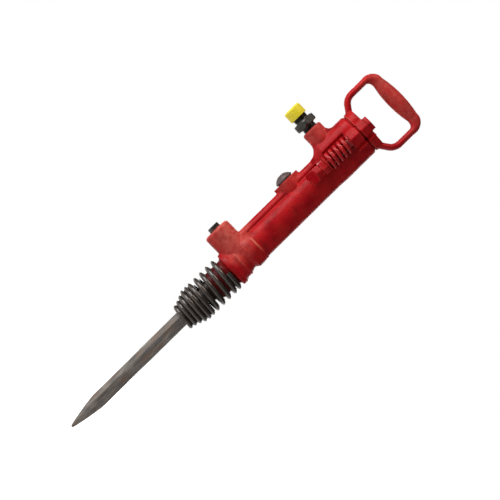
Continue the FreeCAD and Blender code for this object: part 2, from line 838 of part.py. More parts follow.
def inlet_nipple():
    """Hexagon nipple: a thread into the boss, a chamfered hexagon, and the hose thread outside."""
    start = inlet_reach - nipple_in_len
    crest_r, tip_r = nipple_thread_r, nipple_thread_r - nipple_edge
    in_relief, out_relief = nipple_face - relief_len, hex_face + relief_len
    thread = turned((0, start), (tip_r, start), (crest_r, start + nipple_edge), (crest_r, in_relief),
                    (nipple_root_r, in_relief), (nipple_root_r, out_relief), (crest_r, out_relief),
                    (crest_r, nipple_end - nipple_edge), (tip_r, nipple_end), (0, nipple_end))
    nut = chamfered_hexagon(nipple_hex_af, nipple_face, hex_face, nipple_hex_edge, corner_out)
    bore = rod(nipple_bore_r, start - overrun, nipple_end + overrun)
    ledge = rod(nipple_bore_r + strainer_flange_t, start - overrun, start + strainer_flange_t)
    return sideways(thread.fuse(nut).cut([bore, ledge]), inlet_z)


def inlet_strainer():
    """A perforated thimble; its flange seats in the inner end of the nipple."""
    start = inlet_reach - nipple_in_len
    flange = rod(nipple_bore_r + strainer_flange_t - seat_fit, start, start + strainer_flange_t)
    thimble = rod(strainer_r, start, start + strainer_len)
    hollow = rod(strainer_r - strainer_wall, start - overrun, start + strainer_len - strainer_wall)
    return sideways(flange.fuse(thimble).cut(hollow), inlet_z)


def dust_cap():
    """A soft cap: its skirt goes over the thread, and a short tube inside it plugs the nipple's bore."""
    low = hex_face + cap_gap
    high = low + cap_len
    outer = turned((0, low), (cap_r, low), (cap_r, high - cap_edge),
                   corner_arc((cap_r - cap_edge, high - cap_edge), cap_edge, 0, 90), (0, high))
    hollow = rod(nipple_thread_r + skirt_gap, low - overrun, high - cap_end_t)
    plug_r = nipple_bore_r - running_fit
    plug = tube(plug_r, plug_r - cap_plug_wall, nipple_end - cap_plug_len, high - cap_end_t)
    return sideways(outer.cut(hollow).fuse(plug), inlet_z)


def piston():
    high = piston_z + piston_len
    side = bore_r - running_fit
    body = turned((0, piston_z), (piston_nose_r, piston_z), (side, piston_z + piston_nose_len),
                  (side, high - piston_edge), (side - piston_edge, high), (0, high))
    grooves = []
    for i in range(groove_count):
        low = high - groove_pitch * (i + 1)
        grooves.append(tube(bore_r + overrun, side - groove_depth, low, low + groove_len))
    return body.cut(grooves)


def at_bolt(shape, side):
    return moved(shape, x=bolt_x, y=side * bolt_y)


def side_bolt(side):
    """Hexagon-headed bolt from the handle's base down into the guide bush."""
    end = foot_top_z - bolt_end_sink
    head_top_z = base_top_z + bolt_head_len
    head = chamfered_hexagon(bolt_head_af, base_top_z, head_top_z, bolt_head_edge, corner_out,
                             both_ends=False)
    return at_bolt(rod(bolt_r, end, base_top_z).fuse(head), side)


def bolt_sleeve(side):
    return at_bolt(tube(sleeve_r, bolt_r + seat_fit, ear_low_z, handle_z), side)


def spring_seat(side):
    """Threaded seat with a hub that centres the spring."""
    hub_r = side_coil_r - side_wire_r - seat_hub_fit
    low = spring_high_z - seat_hub_len
    body = turned((0, low), (hub_r, low), (hub_r, spring_high_z), (seat_flange_r, spring_high_z),
                  (seat_flange_r, ear_low_z), (0, ear_low_z))
    return at_bolt(body.cut(rod(bolt_r + seat_fit, low - overrun, ear_low_z + overrun)), side)


side_end_pitch = 2 * side_wire_r + side_end_gap
side_open_turns = side_turns - 2 * side_end_turns
side_rise = side_spring_len - 2 * side_wire_r - 2 * side_spring_fit
side_pitch = (side_rise - 2 * side_end_turns * side_end_pitch) / side_open_turns


def side_height(turn):
    low_end = min(turn, side_end_turns)
    high_end = max(0, turn - side_end_turns - side_open_turns)
    return (low_end + high_end) * side_end_pitch + (turn - low_end - high_end) * side_pitch


def side_spring(side):
    """Left-hand coil spring between the washer on the guide bush and the seat under the ear."""
    spots = coil_points(lambda turn: side_coil_r, side_height, side_turns, 90, -1, wire_step_share)
    return at_bolt(moved(wound(spots, side_wire_r), z=spring_low_z + side_wire_r + side_spring_fit), side)


def spring_washers():
    washer = tube(side_washer_r, bolt_r + stop_gap, bush_head_top_z, spring_low_z)
    return Part.makeCompound([at_bolt(washer, side) for side in SIDES.values()])


def guide_bush(side):
    """Hexagon-headed bush screwed into the foot boss; the bolt slides in it."""
    head = chamfered_hexagon(bush_head_af, foot_top_z, bush_head_top_z, bolt_head_edge,
                             corner_out + bush_turn)
    thread = rod(bush_thread_r, foot_top_z - bush_thread_len, foot_top_z)
    bore = rod(bolt_r + running_fit, foot_top_z - bush_thread_len - overrun, bush_head_top_z + overrun)
    return at_bolt(head.fuse(thread).cut(bore), side)


def oval_section(centre, outward, high, deep):
    """An oval wire: a unit circle stretched to half its height outwards and half its depth along Y."""
    along, across, through = Y_AXIS * deep, outward * -high, Y_AXIS.cross(outward * -1)
    stretch = FreeCAD.Matrix(along.x, across.x, through.x, centre.x,
                             along.y, across.y, through.y, centre.y,
                             along.z, across.z, through.z, centre.z)
    return Part.Wire(Part.makeCircle(1).transformGeometry(stretch).Edges)


def arm():
    """The right arm: a foot and bend out of the base, a straight run, and a corner swelling to the grip."""
    corner = V(grip_half - grip_corner_r, 0, base_top_z + grip_rise - grip_corner_r)
    bend = V(grip_half - low_bend_r, 0, base_top_z + low_bend_rise)
    turn = radians(low_bend_turn)
    outward = V(cos(turn), 0, -sin(turn))
    onward = V(-sin(turn), 0, -cos(turn))
    section = Part.Face(oval_section(bend + V(low_bend_r, 0, 0), V(1, 0, 0), arm_r, arm_depth))
    foot = Part.Face(oval_section(bend + outward * low_bend_r, outward, arm_r, arm_depth))
    wires = []
    for angle, share in corner_shares:
        outward = V(cos(radians(angle)), 0, sin(radians(angle)))
        wires.append(oval_section(corner + outward * grip_corner_r, outward,
                                  arm_r + (grip_end_r - arm_r) * share,
                                  arm_depth + (grip_end_r - arm_depth) * share))
    return Part.makeLoft(wires, True, False).multiFuse([
        section.extrude(V(0, 0, corner.z - bend.z)),
        section.revolve(bend, Y_AXIS, low_bend_turn),
        foot.extrude(onward * foot_run)])


def grip():
    """The D, from one foot over the grip to the other."""
    half = grip_half - grip_corner_r
    spindle = turned((0, -half), (grip_end_r, -half), ((grip_mid_r, 0), (grip_end_r, half)), (0, half))
    right = arm()
    left = right.mirror(ORIGIN, V(1, 0, 0))
    return moved(sideways(spindle, base_top_z + grip_rise).multiFuse([right, left]), x=grip_x)


def handle():
    base = bar(Part.Face(oval(block_left_x, block_r, block_r)), handle_z, base_top_z)
    base = softened(base, seam_round, lambda at: abs(at.z - (handle_z + base_top_z) / 2) > touch)
    pillars = [lug(ear_r, side, handle_z, base_top_z, ear_flare) for side in SIDES.values()]
    pin_top = handle_z - press_pin_proud + press_pin_len
    cuts = [rod(press_pin_r + seat_fit, handle_z - overrun, pin_top, throttle_x)]
    for side in SIDES.values():
        cuts.append(rod(bolt_r + seat_fit, handle_z - overrun, base_top_z + overrun, bolt_x, side * bolt_y))
    return base.multiFuse(pillars + [grip()]).cut(cuts)


def build():
    nodes = {
        "cylinder": cylinder, "chisel": chisel, "chisel_bush": chisel_bush,
        "retaining_spring": retaining_spring, "passage_plug": passage_plug,
        "passage_plug_washer": passage_plug_washer, "oil_plug": oil_plug, "oil_plug_seal": oil_plug_seal,
        "valve_box_lower": valve_box_lower, "valve_box_upper": valve_box_upper, "valve_dowel": valve_dowel,
        "shuttle_valve": shuttle_valve, "cylinder_cap": cylinder_cap, "cap_seal": cap_seal,
        "throttle_seat": throttle_seat, "throttle_guide": throttle_guide, "throttle_seal": throttle_seal,
        "throttle_valve": throttle_valve, "throttle_spring": throttle_spring, "press_pin": press_pin,
        "inlet_nipple": inlet_nipple, "inlet_strainer": inlet_strainer, "dust_cap": dust_cap,
        "piston": piston, "spring_washers": spring_washers, "handle": handle,
    }
    for name, side in SIDES.items():
        nodes["side_bolt_" + name] = lambda side=side: side_bolt(side)
        nodes["bolt_sleeve_" + name] = lambda side=side: bolt_sleeve(side)
        nodes["spring_seat_" + name] = lambda side=side: spring_seat(side)
        nodes["side_spring_" + name] = lambda side=side: side_spring(side)
        nodes["guide_bush_" + name] = lambda side=side: guide_bush(side)
    os.makedirs("parts", exist_ok=True)
    for name, make in nodes.items():
        shape = make()
        shape.exportStep("parts/" + name + ".step")
        print(name, "solids", len(shape.Solids), "valid", shape.isValid(), "volume", round(shape.Volume))


build()
print("heights: rim", round(rim_z, 2), "nose", round(nose_z, 2), "block top", round(block_top_z, 2),
      "grip top", round(base_top_z + grip_rise + grip_mid_r, 2))
print("travels: handle", handle_travel, "chisel", round(chisel_lift, 2), "piston", round(piston_travel, 2),
      "shuttle", round(shuttle_travel, 2))
print("side springs, least gap to themselves:",
      round(least_gap(lambda turn: side_coil_r, side_height, side_turns, side_wire_r), 2))
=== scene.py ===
# %% [markdown]
# A pneumatic pick stands on its point: a red casting with a hexagon chisel held in its nose by a black
# coil spring, an air inlet on the left, and a D handle that presses down on two side springs.
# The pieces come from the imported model, at their real size and in metres. This lesson gives each of them
# the surface that the real one has, and models again those whose finer shape shows.

# %% Load the frame
import bpy
import json
import numpy as np
from math import cos, pi, radians, sin, tau
from mathutils import Matrix, Vector


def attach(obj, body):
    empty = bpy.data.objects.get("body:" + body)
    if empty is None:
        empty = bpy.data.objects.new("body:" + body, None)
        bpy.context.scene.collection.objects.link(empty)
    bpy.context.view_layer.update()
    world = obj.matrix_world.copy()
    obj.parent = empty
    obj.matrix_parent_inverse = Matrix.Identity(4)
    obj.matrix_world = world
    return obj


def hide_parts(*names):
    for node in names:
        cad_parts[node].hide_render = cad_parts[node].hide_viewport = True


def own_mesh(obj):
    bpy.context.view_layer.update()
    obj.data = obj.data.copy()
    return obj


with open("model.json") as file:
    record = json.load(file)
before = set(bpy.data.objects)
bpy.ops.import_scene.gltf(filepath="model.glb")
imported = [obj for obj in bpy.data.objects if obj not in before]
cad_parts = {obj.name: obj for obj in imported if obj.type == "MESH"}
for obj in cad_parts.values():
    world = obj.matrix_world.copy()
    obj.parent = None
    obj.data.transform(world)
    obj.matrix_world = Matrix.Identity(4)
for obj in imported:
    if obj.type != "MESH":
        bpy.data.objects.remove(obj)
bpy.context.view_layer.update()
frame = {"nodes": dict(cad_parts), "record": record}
scene = bpy.context.scene
MM = 0.001

# %% [markdown]
# The photograph is a studio picture taken from far off, with the tool lying askew in the frame. The tool
# stays upright here, so the camera rolls instead. A long lens a few metres away gives the same flat view.

# %% Camera
VIEW_WIDTH = 0.775
VIEW_CENTRE = Vector((-0.0016, 0, 0.3895))
ROLL = radians(45.5)
LENS = 200
FILM_WIDTH = 36
FAR = 30
camera_data = bpy.data.cameras.new("studio_camera")
camera_data.lens = LENS
camera_data.sensor_width = FILM_WIDTH
camera = bpy.data.objects.new("studio_camera", camera_data)
scene.collection.objects.link(camera)
distance = VIEW_WIDTH * LENS / FILM_WIDTH
right = Vector((cos(ROLL), 0, sin(ROLL)))
up = Vector((-sin(ROLL), 0, cos(ROLL)))
back = Vector((0, -1, 0))
camera.matrix_world = Matrix((right, up, back)).transposed().to_4x4()
camera.location = VIEW_CENTRE + back * distance
camera_data.clip_end = FAR
scene.camera = camera
print("camera stands", round(distance, 2), "m away")

# %% [markdown]
# The backdrop is pure white and the tool throws no shadow on it. A floor lies just under the point, where
# the camera sees it edge on, so it shines as white as the backdrop, but only for the camera. The sky is
# white too, dimmer where it lights, and dimmest in reflections, because a white room mirrored at glancing
# angles would edge every dark side with grey.

# %% Floor and world
FLOOR_GAP = 0.002
FLOOR_SIZE = 6.0
PAPER_TONE, PAPER_GLOW = 0.8, 0.93
bpy.ops.object.select_all(action="DESELECT")
bpy.ops.mesh.primitive_plane_add(size=FLOOR_SIZE, location=(0, 0, -FLOOR_GAP))
floor = bpy.context.object
floor.name = "floor"
paper = bpy.data.materials.new("floor_paper")
paper.use_nodes = True
sheet = paper.node_tree
matt_paper = sheet.nodes["Principled BSDF"]
matt_paper.inputs["Base Color"].default_value = (PAPER_TONE, PAPER_TONE, PAPER_TONE, 1)
matt_paper.inputs["Roughness"].default_value = 0.9
bright_paper = sheet.nodes.new("ShaderNodeEmission")
bright_paper.inputs["Strength"].default_value = PAPER_GLOW
ray = sheet.nodes.new("ShaderNodeLightPath")
seen_paper = sheet.nodes.new("ShaderNodeAddShader")
paper_choice = sheet.nodes.new("ShaderNodeMixShader")
sheet.links.new(matt_paper.outputs["BSDF"], seen_paper.inputs[0])
sheet.links.new(bright_paper.outputs["Emission"], seen_paper.inputs[1])
sheet.links.new(ray.outputs["Is Camera Ray"], paper_choice.inputs["Fac"])
sheet.links.new(matt_paper.outputs["BSDF"], paper_choice.inputs[1])
sheet.links.new(seen_paper.outputs["Shader"], paper_choice.inputs[2])
sheet.links.new(paper_choice.outputs["Shader"], sheet.nodes["Material Output"].inputs["Surface"])
floor.data.materials.append(paper)

world = bpy.data.worlds.new("studio_white")
scene.world = world
world.use_nodes = True
sky = world.node_tree
sky_ray = sky.nodes.new("ShaderNodeLightPath")
shown = sky.nodes["Background"]


def sky_shade(strength, is_ray, rest):
    """The sky at one strength for one kind of ray, and the rest as it was."""
    shade = sky.nodes.new("ShaderNodeBackground")
    shade.inputs["Color"].default_value = (1, 1, 1, 1)
    shade.inputs["Strength"].default_value = strength
    choice = sky.nodes.new("ShaderNodeMixShader")
    sky.links.new(sky_ray.outputs[is_ray], choice.inputs["Fac"])
    sky.links.new(rest, choice.inputs[1])
    sky.links.new(shade.outputs["Background"], choice.inputs[2])
    return choice.outputs["Shader"]


SKY_LIGHT, SKY_MIRRORED, SKY_SEEN = 0.29, 0.03, 1.0
shown.inputs["Color"].default_value = (1, 1, 1, 1)
shown.inputs["Strength"].default_value = SKY_LIGHT
shades = sky_shade(SKY_MIRRORED, "Is Glossy Ray", shown.outputs["Background"])
shades = sky_shade(SKY_SEEN, "Is Camera Ray", shades)
sky.links.new(shades, sky.nodes["World Output"].inputs["Surface"])
scene.view_settings.view_transform = "Standard"
print("floor and sky are white")

# %% [markdown]
# The main light is a wide soft wall on the inlet's side, which leaves the right of every round form dark. A
# smaller warm box hangs over the tool's left, and two more stand behind it, for whoever looks from there.

# %% Soft boxes
# Each one: name, place, width and height in metres, power in watts, colour
WHITE, WARM = (1, 1, 1), (1, 0.84, 0.7)
SOFT_BOXES = (
    ("key_wall", (-2.0, -0.65, 0.8), (1.3, 1.5), 33, WHITE),
    ("top_box", (-0.8, -0.55, 2.3), (1.0, 0.8), 18, WARM),
    ("rear_left_box", (-0.6, 2.3, 1.0), (1.3, 1.3), 14, WHITE),
    ("rear_right_box", (0.7, 2.3, 0.8), (1.3, 1.3), 14, WHITE),
)
for name, place, size, power, colour in SOFT_BOXES:
    light = bpy.data.lights.new(name, "AREA")
    light.shape = "RECTANGLE"
    light.size, light.size_y = size
    light.energy = power
    light.color = colour
    box = bpy.data.objects.new(name, light)
    scene.collection.objects.link(box)
    box.location = place
    box.rotation_euler = (Vector(place) - VIEW_CENTRE).to_track_quat("Z", "Y").to_euler()
print("studio has", len(SOFT_BOXES), "soft boxes")

# %% [markdown]
# Every finish is a small graph of nodes on Object coordinates, which are metres in the tool's own frame.
# The same few moves come back in each: a noise of a given size, a ramp from one colour to another, and a
# bump. They are written once here.

# %% Helpers for finishes


class Finish:
    """A material with one Principled surface and short words for the nodes that feed it."""

    def __init__(self, name, roughness=0.5, metallic=0.0, coat=0.0, coat_roughness=0.1, specular=0.5):
        self.material = bpy.data.materials.new(name)
        self.material.use_nodes = True
        self.tree = self.material.node_tree
        self.surface = self.tree.nodes["Principled BSDF"]
        self.surface.inputs["Roughness"].default_value = roughness
        self.surface.inputs["Metallic"].default_value = metallic
        self.surface.inputs["Coat Weight"].default_value = coat
        self.surface.inputs["Coat Roughness"].default_value = coat_roughness
        self.surface.inputs["Specular IOR Level"].default_value = specular
        self.place = self.tree.nodes.new("ShaderNodeTexCoord").outputs["Object"]

    def node(self, kind, **settings):
        made = self.tree.nodes.new(kind)
        for key, value in settings.items():
            setattr(made, key, value)
        return made

    def link(self, source, target):
        self.tree.links.new(source, target)

    def stretched(self, scale):
        """Object coordinates, stretched by a scale for each axis."""
        mapping = self.node("ShaderNodeMapping")
        mapping.inputs["Scale"].default_value = scale
        self.link(self.place, mapping.inputs["Vector"])
        return mapping.outputs["Vector"]

    def noise(self, size, detail=4.0, rough=0.55, stretch=None):
        """Noise whose lumps are about size millimetres across."""
        made = self.node("ShaderNodeTexNoise")
        made.inputs["Scale"].default_value = 1 / (size * MM)
        made.inputs["Detail"].default_value = detail
        made.inputs["Roughness"].default_value = rough
        self.link(self.stretched(stretch) if stretch else self.place, made.inputs["Vector"])
        return made.outputs["Fac"]

    def ramp(self, factor, *stops):
        """Colours or grey levels at places along a factor."""
        made = self.node("ShaderNodeValToRGB")
        row = made.color_ramp.elements
        while len(row) < len(stops):
            row.new(0.5)
        for element, (spot, colour) in zip(row, stops):
            element.position = spot
            element.color = (*colour, 1) if isinstance(colour, tuple) else (colour, colour, colour, 1)
        self.link(factor, made.inputs["Fac"])
        return made.outputs["Color"]

    def mix(self, factor, first, second, blend="MIX"):
        """Second over first by a factor. Each is a socket, a plain number or a plain colour."""
        made = self.node("ShaderNodeMix", data_type="RGBA", blend_type=blend)
        sockets = (made.inputs["Factor"], made.inputs[6], made.inputs[7])
        for socket, value in zip(sockets, (factor, first, second)):
            if isinstance(value, tuple):
                socket.default_value = (*value, 1)
            elif isinstance(value, float):
                socket.default_value = value
            else:
                self.link(value, socket)
        return made.outputs[2]

    def span(self, value, start, end, top=1.0):
        """0 up to start and top from end on, which are millimetres along a value in metres."""
        made = self.node("ShaderNodeMapRange")
        self.link(value, made.inputs["Value"])
        made.inputs["From Min"].default_value = start * MM
        made.inputs["From Max"].default_value = end * MM
        made.inputs["To Max"].default_value = top
        return made.outputs["Result"]

    def reckon(self, operation, first, second=0.0):
        """One operation on two values, each of them a socket or a plain number."""
        made = self.node("ShaderNodeMath", operation=operation)
        for socket, value in zip(made.inputs, (first, second)):
            if isinstance(value, float):
                socket.default_value = value
            else:
                self.link(value, socket)
        return made.outputs["Value"]

    def crevices(self, reach):
        """1 in the open and towards 0 in corners closer than reach millimetres."""
        made = self.node("ShaderNodeAmbientOcclusion", samples=6)
        made.inputs["Distance"].default_value = reach * MM
        return made.outputs["AO"]

    def edges(self, reach):
        """1 in the open and towards 0 on outer edges, as seen from inside the piece."""
        made = self.node("ShaderNodeAmbientOcclusion", samples=6, inside=True)
        made.inputs["Distance"].default_value = reach * MM
        return made.outputs["AO"]

    def bump(self, *layers):
        """Heights in millimetres, each as (factor, height)."""
        normal = None
        for factor, height in layers:
            made = self.node("ShaderNodeBump")
            made.inputs["Distance"].default_value = height * MM
            self.link(factor, made.inputs["Height"])
            if normal:
                self.link(normal, made.inputs["Normal"])
            normal = made.outputs["Normal"]
        self.link(normal, self.surface.inputs["Normal"])

    def set(self, **sockets):
        for key, value in sockets.items():
            self.link(value, self.surface.inputs[key.replace("_", " ").title()])


def srgb(red, green, blue):
    """A colour given as it looks on screen, from 0 to 255, as the linear one that a shader wants."""
    shares = [level / 255 for level in (red, green, blue)]
    return tuple(s / 12.92 if s <= 0.04 else ((s + 0.055) / 1.055) ** 2.4 for s in shares)


print("finish helpers are ready")

# %% [markdown]
# The casting, the handle, the side bolts and even the side springs are sprayed with one thick red enamel.
# It follows the grain of the sand casting below, is painted darker in corners as painted shade, and looks a
# little thin and orange in random patches. On the smooth steel of bolts and springs the same paint lies flat
# and shines. On the neck, under the retaining spring, it is dark brown. Outer edges carry a pale painted
# highlight. Where hands and rock rub it, on the grip, on the bosses and on the belt, it is paler and more
# orange, partly for wear and partly as painted light, and the beads on the bell and the belt carry a painted
# highlight on their front.

# %% Red enamel
NECK_TOP = 0.343
PAINT_DEEP, PAINT_LIGHT = srgb(168, 7, 22), srgb(186, 24, 28)
PAINT_THIN, PAINT_SHADE, PAINTED_CORNER_SHADE = srgb(158, 34, 20), srgb(128, 6, 14), srgb(80, 2, 8)
PAINTED_EDGE_HIGHLIGHT, WORN_AND_PAINTED_LIGHT_TONE, PAINTED_BEAD_HIGHLIGHT = srgb(208, 84, 70), srgb(216, 112, 100), srgb(228, 130, 108)
NECK_DARK_BROWN = srgb(72, 22, 18)
# Each place painted paler, partly for wear and partly as painted light: its middle, how far it is fully pale
# and how far at all, in mm, and how much
WORN_AND_PAINTED_LIGHT_PLACES = (
    ((-10, 0, 722), 40, 75, 0.36),
    ((-66, 0, 588), 18, 34, 0.45),
    ((-42, 0, 504), 14, 26, 0.4),
    ((-54, -10, 388), 16, 42, 0.75),
    ((-18, -22, 378), 10, 32, 0.5),
)
# The painted highlight along the beads on the bell and on the belt, which shows on the front alone
BEAD_HIGHLIGHT_HALF = 1.8
BEAD_HIGHLIGHTS = ((367.2, 0.35), (403.2, 0.8))
BEAD_HIGHLIGHT_FRONT = ((-18, -12), (16, 2))


def enamel(name, roughness, coat, ripple):
    """Red enamel. ripple is how much of the sand's grain it still shows."""
    made = Finish(name, roughness=roughness, coat=coat, coat_roughness=0.22, specular=0.11)
    red = made.ramp(made.noise(26, detail=3), (0.36, PAINT_DEEP), (0.64, PAINT_LIGHT))
    patch = made.ramp(made.noise(9, detail=5), (0.52, 0.0), (0.7, 0.45))
    red = made.mix(patch, red, PAINT_THIN)
    shade = made.ramp(made.noise(16, detail=4), (0.5, 0.0), (0.66, 0.55))
    red = made.mix(shade, red, PAINT_SHADE)
    # Painted highlight: outer edges, found by occlusion from inside the piece, turn a pale orange red.
    painted_edge_highlight = made.ramp(made.edges(2.0), (0.2, 0.6), (0.52, 0.0))
    red = made.mix(painted_edge_highlight, red, PAINTED_EDGE_HIGHLIGHT)
    # Painted shade: ambient occlusion darkens the red towards a deep red in corners and crevices.
    painted_corner_shade = made.ramp(made.crevices(5), (0.1, 0.75), (0.65, 0.0))
    red = made.mix(painted_corner_shade, red, PAINTED_CORNER_SHADE)
    parts = made.node("ShaderNodeSeparateXYZ")
    made.link(made.place, parts.inputs["Vector"])
    # Below the neck's top, under the retaining spring, the red turns dark brown.
    below_neck_top = made.ramp(parts.outputs["Z"], (NECK_TOP, 0.75), (NECK_TOP + 0.003, 0.0))
    red = made.mix(below_neck_top, red, NECK_DARK_BROWN)
    # A random breakup, shared by the paler patches and the painted bead highlights below.
    patchy_wear_and_light = made.ramp(made.noise(7, detail=5), (0.3, 0.3), (0.7, 1.0))
    # Paler, more orange patches round each listed place: partly wear, partly painted light on bosses, grip
    # and bell.
    for middle, near, far, mark_strength in WORN_AND_PAINTED_LIGHT_PLACES:
        apart = made.node("ShaderNodeVectorMath", operation="DISTANCE")
        made.link(made.place, apart.inputs[0])
        apart.inputs[1].default_value = Vector(middle) * MM
        share = made.reckon("MULTIPLY", made.span(apart.outputs["Value"], far, near, mark_strength), patchy_wear_and_light)
        red = made.mix(share, red, WORN_AND_PAINTED_LIGHT_TONE)
    # Painted highlight: a pale band along each bead's height, faded in and out along X on the front.
    for height, mark_strength in BEAD_HIGHLIGHTS:
        off = made.reckon("ABSOLUTE", made.reckon("SUBTRACT", parts.outputs["Z"], height * MM))
        share = made.reckon("MULTIPLY", made.span(off, BEAD_HIGHLIGHT_HALF, BEAD_HIGHLIGHT_HALF / 2, mark_strength), patchy_wear_and_light)
        for start, end in BEAD_HIGHLIGHT_FRONT:
            share = made.reckon("MULTIPLY", share, made.span(parts.outputs["X"], start, end))
        red = made.mix(share, red, PAINTED_BEAD_HIGHLIGHT)
    rough = made.ramp(made.noise(9), (0.3, roughness - 0.06), (0.7, roughness + 0.1))
    made.set(base_color=red, roughness=rough)
    made.bump((made.noise(13, detail=2), 0.3 * ripple), (made.noise(4, detail=3), 0.12 * ripple),
              (made.noise(1.5, detail=2), 0.02 * ripple))
    print("made", name)
    return made


red_enamel = enamel("red_enamel", 0.4, 0.05, 1.0)
glossy_enamel = enamel("red_enamel_on_smooth_steel", 0.34, 0.7, 0.35)

# %% [markdown]
# The retaining spring is hardened wire, oiled black over a brown scale. Its wire is drawn, so the marks run
# all ways once it is wound, and a plain fine noise is close enough.

# %% Oiled black wire
oiled_wire = Finish("oiled_black_wire", roughness=0.36, metallic=0.2, coat=0.9, coat_roughness=0.16)
WIRE_DARK, WIRE_LIGHT, WIRE_PAINTED_SHADE = srgb(42, 36, 33), srgb(74, 63, 57), srgb(10, 7, 6)
wire_tone = oiled_wire.ramp(oiled_wire.noise(9, detail=5), (0.35, WIRE_DARK), (0.7, WIRE_LIGHT))
# Painted shade: the wire goes near black where the coils lie close together, from ambient occlusion.
wire_painted_shade = oiled_wire.ramp(oiled_wire.crevices(6), (0.1, 0.5), (0.6, 0.0))
wire_tone = oiled_wire.mix(wire_painted_shade, wire_tone, WIRE_PAINTED_SHADE)
oiled_wire.set(base_color=wire_tone, roughness=oiled_wire.ramp(oiled_wire.noise(3), (0.3, 0.3), (0.7, 0.5)))
oiled_wire.bump((oiled_wire.noise(0.9, detail=3), 0.05))
print("made", oiled_wire.material.name)

# %% [markdown]
# The chisel is forged and left as it came from the hammer: grey and bluish scale, with brown tints that
# run along the bar.

# %% Forged steel
forged_steel = Finish("forged_steel", roughness=0.6, metallic=0.05, specular=0.25)
streak = forged_steel.noise(5, detail=6, stretch=(1, 1, 0.16))
BAR_DARK, BAR_GREY, BAR_LIGHT = srgb(94, 89, 84), srgb(124, 118, 112), srgb(154, 148, 141)
steel = forged_steel.ramp(streak, (0.3, BAR_DARK), (0.52, BAR_GREY), (0.72, BAR_LIGHT))
scale = forged_steel.ramp(forged_steel.noise(9, detail=4, stretch=(1, 1, 0.5)), (0.48, 0.0), (0.6, 0.5))
steel = forged_steel.mix(scale, steel, srgb(92, 94, 98))
stain = forged_steel.ramp(forged_steel.noise(13, detail=6, stretch=(1, 1, 0.4)), (0.5, 0.0), (0.68, 0.55))
steel = forged_steel.mix(stain, steel, srgb(126, 98, 80))
forged_steel.set(base_color=steel, roughness=forged_steel.ramp(streak, (0.3, 0.7), (0.75, 0.52)))
forged_steel.bump((forged_steel.noise(6, detail=4), 0.16), (forged_steel.noise(0.8, detail=3), 0.05))
print("made", forged_steel.material.name)

# %% [markdown]
# The small pieces share a few plain finishes: oil-blackened steel for nipple and plug, a grey zinc dome,
# ground steel for the works inside, copper, brass, rubber, and the soft yellow plastic of the dust cap.

# %% Finishes of the small pieces


def metal(name, dark, light, roughness, metallic, size=6, grain=0.7, depth=0.04, coat=0.0):
    """A blotchy surface between two tones. size and grain are those of its blotches and bumps."""
    made = Finish(name, roughness=roughness, metallic=metallic, coat=coat, coat_roughness=0.25)
    blotch = made.noise(size, detail=5)
    made.set(base_color=made.ramp(blotch, (0.35, dark), (0.68, light)),
             roughness=made.ramp(made.noise(size / 2), (0.3, roughness - 0.08), (0.7, roughness + 0.1)))
    made.bump((made.noise(grain, detail=3), depth))
    print("made", name)
    return made


black_steel = metal("blackened_steel", srgb(40, 40, 38), srgb(64, 62, 58), 0.36, 0.3, coat=0.4)
zinc_grey = metal("zinc_grey", srgb(78, 65, 65), srgb(106, 88, 87), 0.5, 0.25)
ground_steel = metal("ground_steel", srgb(150, 149, 146), srgb(182, 181, 178), 0.3, 0.9, size=10)
copper = metal("copper_washer", srgb(168, 92, 60), srgb(196, 120, 82), 0.38, 0.9, size=4)
brass = metal("brass_gauze", srgb(170, 138, 72), srgb(200, 170, 96), 0.4, 0.9, size=4)
rubber = metal("seal_rubber", srgb(26, 26, 27), srgb(38, 38, 39), 0.7, 0.0, size=3, depth=0.03)
tarnished_copper = metal("tarnished_copper", srgb(92, 58, 50), srgb(122, 84, 74), 0.45, 0.4, size=4)
oily_steel = metal("oily_steel", srgb(48, 41, 37), srgb(72, 62, 56), 0.4, 0.4)
yellow_plastic = metal("yellow_plastic", srgb(238, 220, 40), srgb(246, 232, 58), 0.42, 0.0, size=12,
                       grain=1.5)

# %% [markdown]
# The record names a finish for each node. The CAD nodes take their materials from that, so nothing is
# left with the plain colour that it was packed with.

# %% Dress the CAD nodes
FINISH_OF = {
    "red_paint": red_enamel, "spring_black": oiled_wire, "chisel_steel": forged_steel,
    "hardened_steel": ground_steel, "black_steel": black_steel, "plug_grey": zinc_grey, "copper": copper,
    "brass": brass, "seal_rubber": rubber, "cap_yellow": yellow_plastic,
}
OWN_FINISH = {"chisel_bush": oily_steel, "passage_plug_washer": tarnished_copper}
for side in ("front", "rear"):
    OWN_FINISH["bolt_sleeve_" + side] = oily_steel
    for kind in ("side_spring_", "spring_seat_", "guide_bush_"):
        OWN_FINISH[kind + side] = glossy_enamel
slot_of = {}
for name, node in frame["nodes"].items():
    slot_of[name] = node.material_slots[0].material.name.split(".")[0]
    for slot in node.material_slots:
        slot.material = OWN_FINISH.get(name, FINISH_OF[slot_of[name]]).material
body_of = {node: body for body, nodes in frame["record"]["behaviour"]["bodies"].items() for node in nodes}
print("dressed", len(slot_of), "nodes in", len(set(slot_of.values())), "finishes")

# %% [markdown]
# Pieces are modelled again in three ways. A casting is copied from its node and given a new skin of small
# even faces, on which its corners can melt together as in a sand mould. A turned or milled piece is copied
# too, but its flat faces are made whole again and its edges broken by a narrow bevel. Side springs and
# threads are wound. These are the moves that all of them need.

# %% Helpers for modelling


def only(*things):
    """Selects these objects and nothing else."""
    bpy.ops.object.select_all(action="DESELECT")
    for thing in things:
        thing.select_set(True)
    bpy.context.view_layer.objects.active = things[-1]


